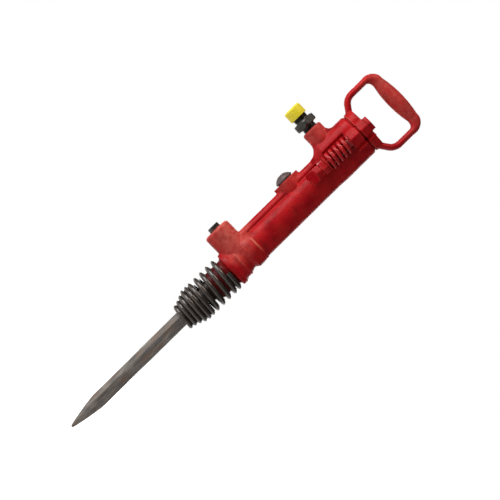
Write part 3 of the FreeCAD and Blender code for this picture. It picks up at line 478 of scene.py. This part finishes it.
def copy_of(node, name):
    """A copy of a CAD node that can be worked on, with its loose triangles merged."""
    piece = frame["nodes"][node].copy()
    piece.data = piece.data.copy()
    piece.name = piece.data.name = name
    for key in list(piece.keys()):
        del piece[key]
    piece.parent = None
    piece.matrix_world = Matrix.Identity(4)
    scene.collection.objects.link(piece)
    only(piece)
    bpy.ops.mesh.customdata_custom_splitnormals_clear()
    bpy.ops.object.mode_set(mode="EDIT")
    bpy.ops.mesh.select_all(action="SELECT")
    bpy.ops.mesh.remove_doubles(threshold=0.001 * MM)
    bpy.ops.object.mode_set(mode="OBJECT")
    return piece


def modify(piece, kind, **settings):
    """Adds a modifier with these settings and applies it."""
    only(piece)
    modifier = piece.modifiers.new(kind.lower(), kind)
    for key, value in settings.items():
        setattr(modifier, key, value)
    bpy.ops.object.modifier_apply(modifier=modifier.name)


def spots_of(piece):
    """The places of all points, in millimetres, one row each."""
    spots = np.empty(len(piece.data.vertices) * 3)
    piece.data.vertices.foreach_get("co", spots)
    return spots.reshape(-1, 3) / MM


def weigh(piece, name, weights):
    """A vertex group from an array of weights, in steps of a tenth."""
    group = piece.vertex_groups.new(name=name)
    steps = np.round(weights, 1)
    for level in np.unique(steps[steps > 0]):
        group.add(np.nonzero(steps == level)[0].tolist(), float(level), "REPLACE")


def settle(piece, node):
    """Gives a finished piece the finish, body and slot of the node that it stands for."""
    piece.data.materials.clear()
    piece.data.materials.append(OWN_FINISH.get(node, FINISH_OF[slot_of[node]]).material)
    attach(piece, body_of[node])
    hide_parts(node)
    print(piece.name, "has", len(piece.data.polygons), "faces")


print("modelling helpers are ready")

# %% [markdown]
# In a mould, sand can't hold a sharp inner corner, so where bosses and ribs meet the body the metal fills a
# round. To make it, the copy is remeshed, the points that lie in a hollow are found by comparing each with
# the middle of its neighbours, and only those are smoothed, many times. The outer edges get a little of it
# too. Bored and milled places keep their size: a shrinkwrap puts them back on the CAD surface.

# %% A cast skin
HOLLOW_SHARE = 0.09
HOLLOW_RINGS = 5
SUNK = 0.12


def inner_corners(piece, depth, rings):
    """Weights that are 1 in hollows deeper than depth millimetres and fade over some rings of points."""
    mesh = piece.data
    spots = spots_of(piece)
    normals = np.empty(len(spots) * 3)
    mesh.vertex_normals.foreach_get("vector", normals)
    ends = np.empty(len(mesh.edges) * 2, dtype=int)
    mesh.edges.foreach_get("vertices", ends)
    first, second = ends.reshape(-1, 2).T
    total, count = np.zeros_like(spots), np.zeros(len(spots))
    for here, there in ((first, second), (second, first)):
        np.add.at(total, here, spots[there])
        np.add.at(count, here, 1)
    hollow = ((total / count[:, None] - spots) * normals.reshape(-1, 3)).sum(axis=1)
    weights = (hollow > depth).astype(float)
    for ring in range(rings):
        spread = weights.copy()
        np.maximum.at(spread, first, weights[second] - 1 / (rings + 1))
        np.maximum.at(spread, second, weights[first] - 1 / (rings + 1))
        weights = spread
    return weights


def cast_skin(piece, node, voxel, machined, crisp, fills, grain, grain_size, faces):
    """A cast surface. machined and crisp tell which points are bored or milled, and which are tight."""
    modify(piece, "REMESH", mode="VOXEL", voxel_size=voxel * MM)
    modify(piece, "SMOOTH", factor=0.5, iterations=2)
    spots = spots_of(piece)
    hollows = inner_corners(piece, HOLLOW_SHARE * voxel, HOLLOW_RINGS)
    weigh(piece, "hollows", hollows * ~machined(spots) * ~crisp(spots))
    modify(piece, "SMOOTH", factor=0.5, iterations=fills, vertex_group="hollows")
    kept = machined(spots_of(piece))
    weigh(piece, "machined", kept * 1.0)
    weigh(piece, "cast", ~kept * 1.0)
    modify(piece, "SMOOTH", factor=0.5, iterations=2, vertex_group="cast")
    modify(piece, "SHRINKWRAP", target=frame["nodes"][node], wrap_method="NEAREST_SURFACEPOINT",
           wrap_mode="ABOVE_SURFACE", offset=-SUNK * MM, vertex_group="machined")
    sand = bpy.data.textures.new(piece.name + "_sand", "CLOUDS")
    sand.noise_scale = grain_size * MM
    sand.noise_depth = 3
    modify(piece, "DISPLACE", texture=sand, strength=-grain * MM, mid_level=0, vertex_group="cast")
    count = len(piece.data.polygons) * 2
    if count > faces:
        modify(piece, "DECIMATE", ratio=faces / count)
    bpy.ops.object.shade_smooth()


def near_line(spots, along, middle, radius):
    """Which points lie within a radius of a line along one axis through a middle, all in millimetres."""
    off = spots - np.array(middle)
    off[:, along] = 0
    return (off ** 2).sum(axis=1) < radius ** 2


print("a cast skin can be made")

# %% [markdown]
# The handle stands 2.5 mm above the casting, and that gap is its travel. In the photograph the gap is only
# a dark line, with no light through it. So a low lip stands on the casting's top, set in from the edge, and
# runs in a groove of the handle's base. It keeps the grit out and blocks the view. One function makes both:
# a long ring round the top, a ring round each bolt and a short bar that joins them.

# %% The lip and its groove
BORE_R = 22.0
BOLT_X, BOLT_Y = -12.4, 37.5
THROTTLE_X = -37.0
BLOCK_LEFT_X = -22.0
INLET_Z, PAD_Z, LOWER_BOSS_Z = 588.2, 503.7, 373.7
BLOCK_TOP_Z = 635.2
HANDLE_Z = 637.7
LIP_R, EAR_LIP_R = 23.0, 9.9
LIP_HALF, LIP_RISE = 1.1, 0.9
GROOVE_HALF, GROOVE_RISE = 1.9, 4.4
ROOT = 1.0


def rod(name, radius, low, high, x=0.0, y=0.0, corners=96):
    """An upright cylinder, in millimetres, with its origin left in the middle of the tool."""
    bpy.ops.object.select_all(action="DESELECT")
    bpy.ops.mesh.primitive_cylinder_add(vertices=corners, radius=radius * MM, depth=(high - low) * MM)
    made = bpy.context.object
    made.name = made.data.name = name
    bpy.ops.object.mode_set(mode="EDIT")
    bpy.ops.transform.translate(value=(x * MM, y * MM, (low + high) / 2 * MM))
    bpy.ops.object.mode_set(mode="OBJECT")
    return made


def pull_left(piece, shift):
    """Moves the points left of the middle further left, which makes a long round of a circle."""
    only(piece)
    for kind in (piece.data.edges, piece.data.polygons):
        kind.foreach_set("select", np.zeros(len(kind), dtype=bool))
    piece.data.vertices.foreach_set("select", spots_of(piece)[:, 0] < -0.01)
    bpy.ops.object.mode_set(mode="EDIT")
    bpy.ops.transform.translate(value=(shift * MM, 0, 0))
    bpy.ops.object.mode_set(mode="OBJECT")


def cut(piece, cutter):
    """Takes the cutter's shape out of the piece and throws the cutter away."""
    modify(piece, "BOOLEAN", object=cutter, operation="DIFFERENCE", solver="EXACT")
    bpy.data.objects.remove(cutter)


def ring(name, middle, half, low, high, x=0.0, y=0.0, shift=0.0):
    """A ring round an upright line, or a long ring where its left half is shifted."""
    made = rod(name, middle + half, low, high, x, y)
    inner = rod(name + "_inner", middle - half, low - 1, high + 1, x, y)
    if shift:
        pull_left(made, shift)
        pull_left(inner, shift)
    cut(made, inner)
    return made


def lip_parts(name, half, low, high):
    """The rings and bars of the lip, or of its groove, with half their width."""
    parts = [ring(name, LIP_R, half, low, high, shift=BLOCK_LEFT_X)]
    for side in (-1, 1):
        parts.append(ring(name + "_ear", EAR_LIP_R, half, low, high, BOLT_X, side * BOLT_Y))
        bpy.ops.object.select_all(action="DESELECT")
        bpy.ops.mesh.primitive_cube_add(size=1)
        bar = bpy.context.object
        bar.name = name + "_bar"
        bpy.ops.object.mode_set(mode="EDIT")
        reach = BOLT_Y - EAR_LIP_R - LIP_R + half
        bpy.ops.transform.resize(value=(2 * half * MM, reach * MM, (high - low) * MM))
        middle = (LIP_R + BOLT_Y - EAR_LIP_R) / 2
        bpy.ops.transform.translate(value=(BOLT_X * MM, side * middle * MM, (low + high) / 2 * MM))
        bpy.ops.object.mode_set(mode="OBJECT")
        parts.append(bar)
    return parts


print("lip and groove share one outline")

# %% [markdown]
# The casting comes next. A fine groove is cut along both sides of the air rib first, because the photograph
# shows a sharp dark line there and not a soft round. It stops at the oil plug's boss and goes on after it.
# The bell on the nose gets its groove between two beads, and the belt a thin raised line at its upper end.

# %% Cylinder casting
RIB_LINE_X, RIB_LINE_Y, RIB_LINE_R = -23.6, 11.9, 2.1
RIB_LINE_LOW, RIB_LINE_HIGH = 400, 556
RIB_LINE_REACH, RIB_LINE_SPARE = 3.5, 4
BEADS = ((353.6, 28.8, 1.7), (367.2, 25.9, 1.8), (403.2, 25.9, 1.2))
BELL_GROOVE = (360.4, 28.9, 2.3)
BOSS_ROOT_X = -20.5
PAD_HALF = 12.0
NOSE_TOP_Z = 410
WAY_R = 8.2
BOSS_LEFT_X = -18
BOSS_BORES = ((INLET_Z, 13.2), (PAD_Z, 10.8), (LOWER_BOSS_Z, 7.8))
TOP_EDGE, TOP_RIM = 0.4, 1.5
CASTING_VOXEL, CASTING_GRAIN, CASTING_GRAIN_SIZE = 0.9, 0.3, 6
CORNER_FILLS = 14


def torus(name, height, radius, thickness):
    """A bead round the tool's axis, in millimetres."""
    bpy.ops.object.select_all(action="DESELECT")
    bpy.ops.mesh.primitive_torus_add(major_segments=144, minor_segments=16, major_radius=radius * MM,
                                     minor_radius=thickness * MM)
    made = bpy.context.object
    made.name = made.data.name = name
    bpy.ops.object.mode_set(mode="EDIT")
    bpy.ops.transform.translate(value=(0, 0, height * MM))
    bpy.ops.object.mode_set(mode="OBJECT")
    return made


def bored(spots):
    """The main bore, the throttle's chamber, the bolts' ways, and the threads in the three side bosses."""
    found = near_line(spots, 2, (0, 0, 0), BORE_R)
    found |= near_line(spots, 2, (THROTTLE_X, 0, 0), WAY_R) & (spots[:, 2] > INLET_Z)
    for side in (-1, 1):
        found |= near_line(spots, 2, (BOLT_X, side * BOLT_Y, 0), WAY_R)
    left = spots[:, 0] < BOSS_LEFT_X
    for height, radius in BOSS_BORES:
        found |= near_line(spots, 0, (0, 0, height), radius) & left
    return found & (spots[:, 2] < BLOCK_TOP_Z + TOP_EDGE)


def tight(spots):
    """The nose with its steps, the grooves along the rib, and the lip."""
    x, z = spots[:, 0], spots[:, 2]
    beside = (z > RIB_LINE_LOW - RIB_LINE_SPARE) & (z < RIB_LINE_HIGH + RIB_LINE_SPARE)
    groove = (abs(x - RIB_LINE_X) < RIB_LINE_REACH) & beside
    return (z < NOSE_TOP_Z) | groove | (z > BLOCK_TOP_Z - TOP_RIM)


casting = copy_of("cylinder", "cylinder_casting")
for side in (-1, 1):
    for low, high in ((RIB_LINE_LOW, PAD_Z - PAD_HALF), (PAD_Z + PAD_HALF, RIB_LINE_HIGH)):
        line = rod("rib_line", RIB_LINE_R, low, high, RIB_LINE_X, side * RIB_LINE_Y, corners=24)
        cut(casting, line)
groove = torus("bell_groove", *BELL_GROOVE)
bpy.ops.object.mode_set(mode="EDIT")
bpy.ops.mesh.select_all(action="SELECT")
bpy.ops.mesh.bisect(plane_co=(BOSS_ROOT_X * MM, 0, 0), plane_no=(1, 0, 0), clear_inner=True,
                    use_fill=True)
bpy.ops.object.mode_set(mode="OBJECT")
cut(casting, groove)
beads = [torus("bead", *bead) for bead in BEADS]
only(*lip_parts("lip", LIP_HALF, BLOCK_TOP_Z - ROOT, HANDLE_Z + LIP_RISE), *beads, casting)
bpy.ops.object.join()
cast_skin(casting, "cylinder", CASTING_VOXEL, bored, tight, CORNER_FILLS, CASTING_GRAIN,
          CASTING_GRAIN_SIZE, faces=190000)
print("lip reaches", round(spots_of(casting)[:, 2].max(), 2), "mm of", HANDLE_Z)
settle(casting, "cylinder")

# %% [markdown]
# The handle gets the same skin. Its holes keep their size, and so does the underside of its base, where the
# groove for the lip is cut first.

# %% Handle casting
BASE_TOP_Z = 655
PIN_HOLE_R, BOLT_HOLE_R = 5.0, 6.0
LOW_FACE_RISE = 5.5


def drilled(spots):
    """The bolts' holes and the press pin's hole in the handle's base."""
    base = spots[:, 2] < BASE_TOP_Z
    found = near_line(spots, 2, (THROTTLE_X, 0, 0), PIN_HOLE_R) & base
    for side in (-1, 1):
        found |= near_line(spots, 2, (BOLT_X, side * BOLT_Y, 0), BOLT_HOLE_R) & base
    return found


def low_face(spots):
    """The underside of the base with its groove."""
    return spots[:, 2] < HANDLE_Z + LOW_FACE_RISE


handle_casting = copy_of("handle", "handle_casting")
for part in lip_parts("groove", GROOVE_HALF, HANDLE_Z - ROOT, HANDLE_Z + GROOVE_RISE):
    cut(handle_casting, part)
cast_skin(handle_casting, "handle", CASTING_VOXEL, drilled, low_face, CORNER_FILLS, CASTING_GRAIN,
          CASTING_GRAIN_SIZE, faces=150000)
settle(handle_casting, "handle")

# %% [markdown]
# The chisel's bar and point are forged. The same skin gives them the shallow hammer marks and slightly
# rounded corners. Its shank and collar are machined, so the copy is parted inside the collar and only the
# lower part gets the skin.

# %% Chisel
COLLAR_LOW_Z = 252.7
SHANK_END, FORGED_END = 0.5, 2.5


def part_off(piece, height, keep_upper):
    """Cuts a piece off level at a height in millimetres and closes the cut."""
    only(piece)
    bpy.ops.object.mode_set(mode="EDIT")
    bpy.ops.mesh.select_all(action="SELECT")
    bpy.ops.mesh.bisect(plane_co=(0, 0, height * MM), plane_no=(0, 0, 1), use_fill=True,
                        clear_inner=keep_upper, clear_outer=not keep_upper)
    bpy.ops.object.mode_set(mode="OBJECT")


def nowhere(spots):
    """No point at all."""
    return np.zeros(len(spots), dtype=bool)


shank = copy_of("chisel", "chisel_shank")
part_off(shank, COLLAR_LOW_Z + SHANK_END, True)
chisel = copy_of("chisel", "forged_chisel")
part_off(chisel, COLLAR_LOW_Z + FORGED_END, False)
cast_skin(chisel, "chisel", 0.8, nowhere, nowhere, fills=4, grain=0.45, grain_size=11, faces=90000)
only(shank, chisel)
bpy.ops.object.join()
bpy.ops.object.shade_smooth_by_angle(angle=radians(35))
settle(chisel, "chisel")

# %% [markdown]
# The side springs are wound from round wire, with a closed turn at each end. A circle is carried round by a
# screw modifier, each ring of points is lifted to the height of its turn, and the open ends are filled.
# The real springs are squashed between their seats when the handle is pressed; here they ride on the body,
# each with a mesh of its own.

# %% Side springs
WIRE_R = 3.0
COIL_R = 11.65
TURNS, END_TURNS = 5.25, 0.75
CLOSED_GAP = 0.1
END_PITCH = 2 * WIRE_R + CLOSED_GAP
SPRING_LOW, SPRING_HIGH = 567.7, 614.7
SEAT_GAP = 0.2
STEPS_PER_TURN = 40


def turn_height(turn):
    """How high the wire's middle is after some turns: slow at both ends and faster between them."""
    ends = min(turn, END_TURNS) + max(0.0, turn - (TURNS - END_TURNS))
    rise = SPRING_HIGH - SPRING_LOW - 2 * WIRE_R - 2 * SEAT_GAP
    open_pitch = (rise - 2 * END_TURNS * END_PITCH) / (TURNS - 2 * END_TURNS)
    return ends * END_PITCH + (turn - ends) * open_pitch


def wind(name, wire, corners, radius, turns):
    """A flat coil round the upright axis, starting at the back and turning clockwise. Its ends stay open."""
    bpy.ops.object.select_all(action="DESELECT")
    bpy.ops.mesh.primitive_circle_add(vertices=corners, radius=wire * MM, rotation=(0, pi / 2, pi))
    made = bpy.context.object
    made.name = made.data.name = name
    bpy.ops.object.transform_apply(location=False, rotation=True, scale=False)
    bpy.ops.object.mode_set(mode="EDIT")
    bpy.ops.transform.translate(value=(0, radius * MM, 0))
    bpy.ops.object.mode_set(mode="OBJECT")
    steps = round(turns * STEPS_PER_TURN)
    modify(made, "SCREW", axis="Z", angle=-tau * turns, steps=steps, render_steps=steps,
           use_merge_vertices=False)
    return made


def close_ends(piece):
    """Fills the open ends of a wound piece."""
    bpy.ops.object.mode_set(mode="EDIT")
    bpy.ops.mesh.select_all(action="DESELECT")
    bpy.ops.mesh.select_non_manifold()
    bpy.ops.mesh.fill_holes(sides=0)
    bpy.ops.mesh.select_all(action="SELECT")
    bpy.ops.mesh.normals_make_consistent(inside=False)
    bpy.ops.object.mode_set(mode="OBJECT")


WIRE_CORNERS = 20
for side, at in (("front", -1), ("rear", 1)):
    spring = wind("side_coil_" + side, WIRE_R, WIRE_CORNERS, COIL_R, TURNS)
    spots = spots_of(spring)
    rings = np.arange(len(spots)) // WIRE_CORNERS
    heights = np.array([turn_height(ring / STEPS_PER_TURN) for ring in rings])
    spots[:, 2] += heights + SPRING_LOW + WIRE_R + SEAT_GAP
    spots += (BOLT_X, at * BOLT_Y, 0)
    spring.data.vertices.foreach_set("co", (spots * MM).ravel())
    close_ends(spring)
    bpy.ops.object.shade_smooth_by_angle(angle=radians(40))
    settle(spring, "side_spring_" + side)
    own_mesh(spring)
    print(spring.name, "stands from", round(spots[:, 2].min(), 2), "to", round(spots[:, 2].max(), 2))

# %% [markdown]
# The retaining spring keeps its shape from the CAD. Scale and old paint make its wire a little thicker.

# %% Retaining spring
SCALE_AND_PAINT = 0.22
retaining_coil = copy_of("retaining_spring", "retaining_coil")
modify(retaining_coil, "DISPLACE", strength=SCALE_AND_PAINT * MM, mid_level=0)
bpy.ops.object.shade_smooth_by_angle(angle=radians(40))
settle(retaining_coil, "retaining_spring")

# %% [markdown]
# Turned and milled pieces have broken edges. Each of them is copied, its flat faces are made whole and a
# narrow bevel goes round every edge, so that the edges catch the light.

# %% Broken edges


def broken_edges(node, width, segments=2):
    """A copy of a node with its sharp edges rounded, in millimetres."""
    piece = copy_of(node, node + "_finished")
    bpy.ops.object.mode_set(mode="EDIT")
    bpy.ops.mesh.select_all(action="SELECT")
    bpy.ops.mesh.dissolve_limited(angle_limit=radians(0.5))
    bpy.ops.object.mode_set(mode="OBJECT")
    modify(piece, "BEVEL", width=width * MM, segments=segments, limit_method="ANGLE",
           angle_limit=radians(32))
    bpy.ops.object.shade_smooth_by_angle(angle=radians(38))
    return piece


EDGE_WIDTHS = {"passage_plug": 0.5, "passage_plug_washer": 0.3, "oil_plug": 0.35}
for side in ("front", "rear"):
    EDGE_WIDTHS["side_bolt_" + side] = 0.6
    EDGE_WIDTHS["spring_seat_" + side] = 0.35
    EDGE_WIDTHS["guide_bush_" + side] = 0.5
EDGE_WIDTHS["spring_washers"] = 0.3
for node, width in EDGE_WIDTHS.items():
    settle(broken_edges(node, width), node)

# %% [markdown]
# Some rims are rounder than a bevel makes them. They are turned down by a ring whose hole is a drum with
# round ends. The ring is made upright and then laid down on the inlet's axis. The dust cap's outer rim is
# one. Its hollow end stays square, because the drum reaches past it.

# %% Turning down, and the dust cap
RING_WALL, RING_LEDGE = 6.0, 0.4
CLEAR_OF_DRUM, CLEAR_PAST = 0.2, 2.0
CAP_BEVEL, CAP_ROUNDING = 0.6, 3.4
CAP_R_SPARE, CAP_END_SPARE = 0.05, 0.02


def lay_down(piece, climb=0.0):
    """Turns an upright piece onto the inlet's axis. First its points climb, each by its own millimetres."""
    spots = spots_of(piece)
    spots[:, 2] += climb
    spots = np.stack((spots[:, 2], spots[:, 1], INLET_Z - spots[:, 0]), axis=1)
    piece.data.vertices.foreach_set("co", (spots * MM).ravel())


def turn_down(piece, radius, low, high, rounding):
    """Rounds the rims of a piece on the inlet's axis to a drum's shape."""
    drum = rod("drum", radius, low, high)
    modify(drum, "BEVEL", width=rounding * MM, segments=10, limit_method="ANGLE", angle_limit=radians(60),
           use_clamp_overlap=False)
    turning_ring = rod("turning_ring", radius + RING_WALL, low - RING_LEDGE, high + RING_LEDGE)
    cut(turning_ring, drum)
    hole_r = radius - rounding - CLEAR_OF_DRUM
    cut(turning_ring, rod("turning_clearance", hole_r, low - CLEAR_PAST, high + CLEAR_PAST))
    lay_down(turning_ring)
    cut(piece, turning_ring)


dust_cap = broken_edges("dust_cap", CAP_BEVEL, segments=3)
along, across = spots_of(dust_cap)[:, :2].T
drum_low, drum_high = along.min() - CAP_END_SPARE, along.max() + CAP_ROUNDING + 1
turn_down(dust_cap, across.max() + CAP_R_SPARE, drum_low, drum_high, CAP_ROUNDING)
bpy.ops.object.shade_smooth_by_angle(angle=radians(38))
settle(dust_cap, "dust_cap")

# %% [markdown]
# The nipple's threads are real here. A triangle is wound along the nipple, one turn for each 2 mm, and taken
# out of the plain ends, which leaves sharp flanks and narrow flat crests. The hexagon between them is so
# worn that its corners are turned down to a full round.

# %% Inlet nipple
THREAD_PITCH = 2.0
THREAD_ROOT = 11.0
THREAD_CUTS = ((-74.3, -66.0), (-112.0, -89.4))
TOOTH_R, TOOTH_CORNERS = 1.25, 3
HEX_LOW, HEX_HIGH, HEX_R = -88.6, -75.2, 20.7
HEX_BEVEL, HEX_ROUNDING = 0.5, 6.5
nipple = broken_edges("inlet_nipple", HEX_BEVEL)
turn_down(nipple, HEX_R, HEX_LOW, HEX_HIGH, HEX_ROUNDING)
for low, high in THREAD_CUTS:
    turns = (high - low) / THREAD_PITCH
    tooth = wind("thread_cutter", TOOTH_R, TOOTH_CORNERS, THREAD_ROOT + TOOTH_R, turns)
    steps_up = np.arange(len(tooth.data.vertices)) // TOOTH_CORNERS / STEPS_PER_TURN
    lay_down(tooth, low + steps_up * THREAD_PITCH)
    close_ends(tooth)
    cut(nipple, tooth)
only(nipple)
bpy.ops.object.shade_smooth_by_angle(angle=radians(30))
settle(nipple, "inlet_nipple")
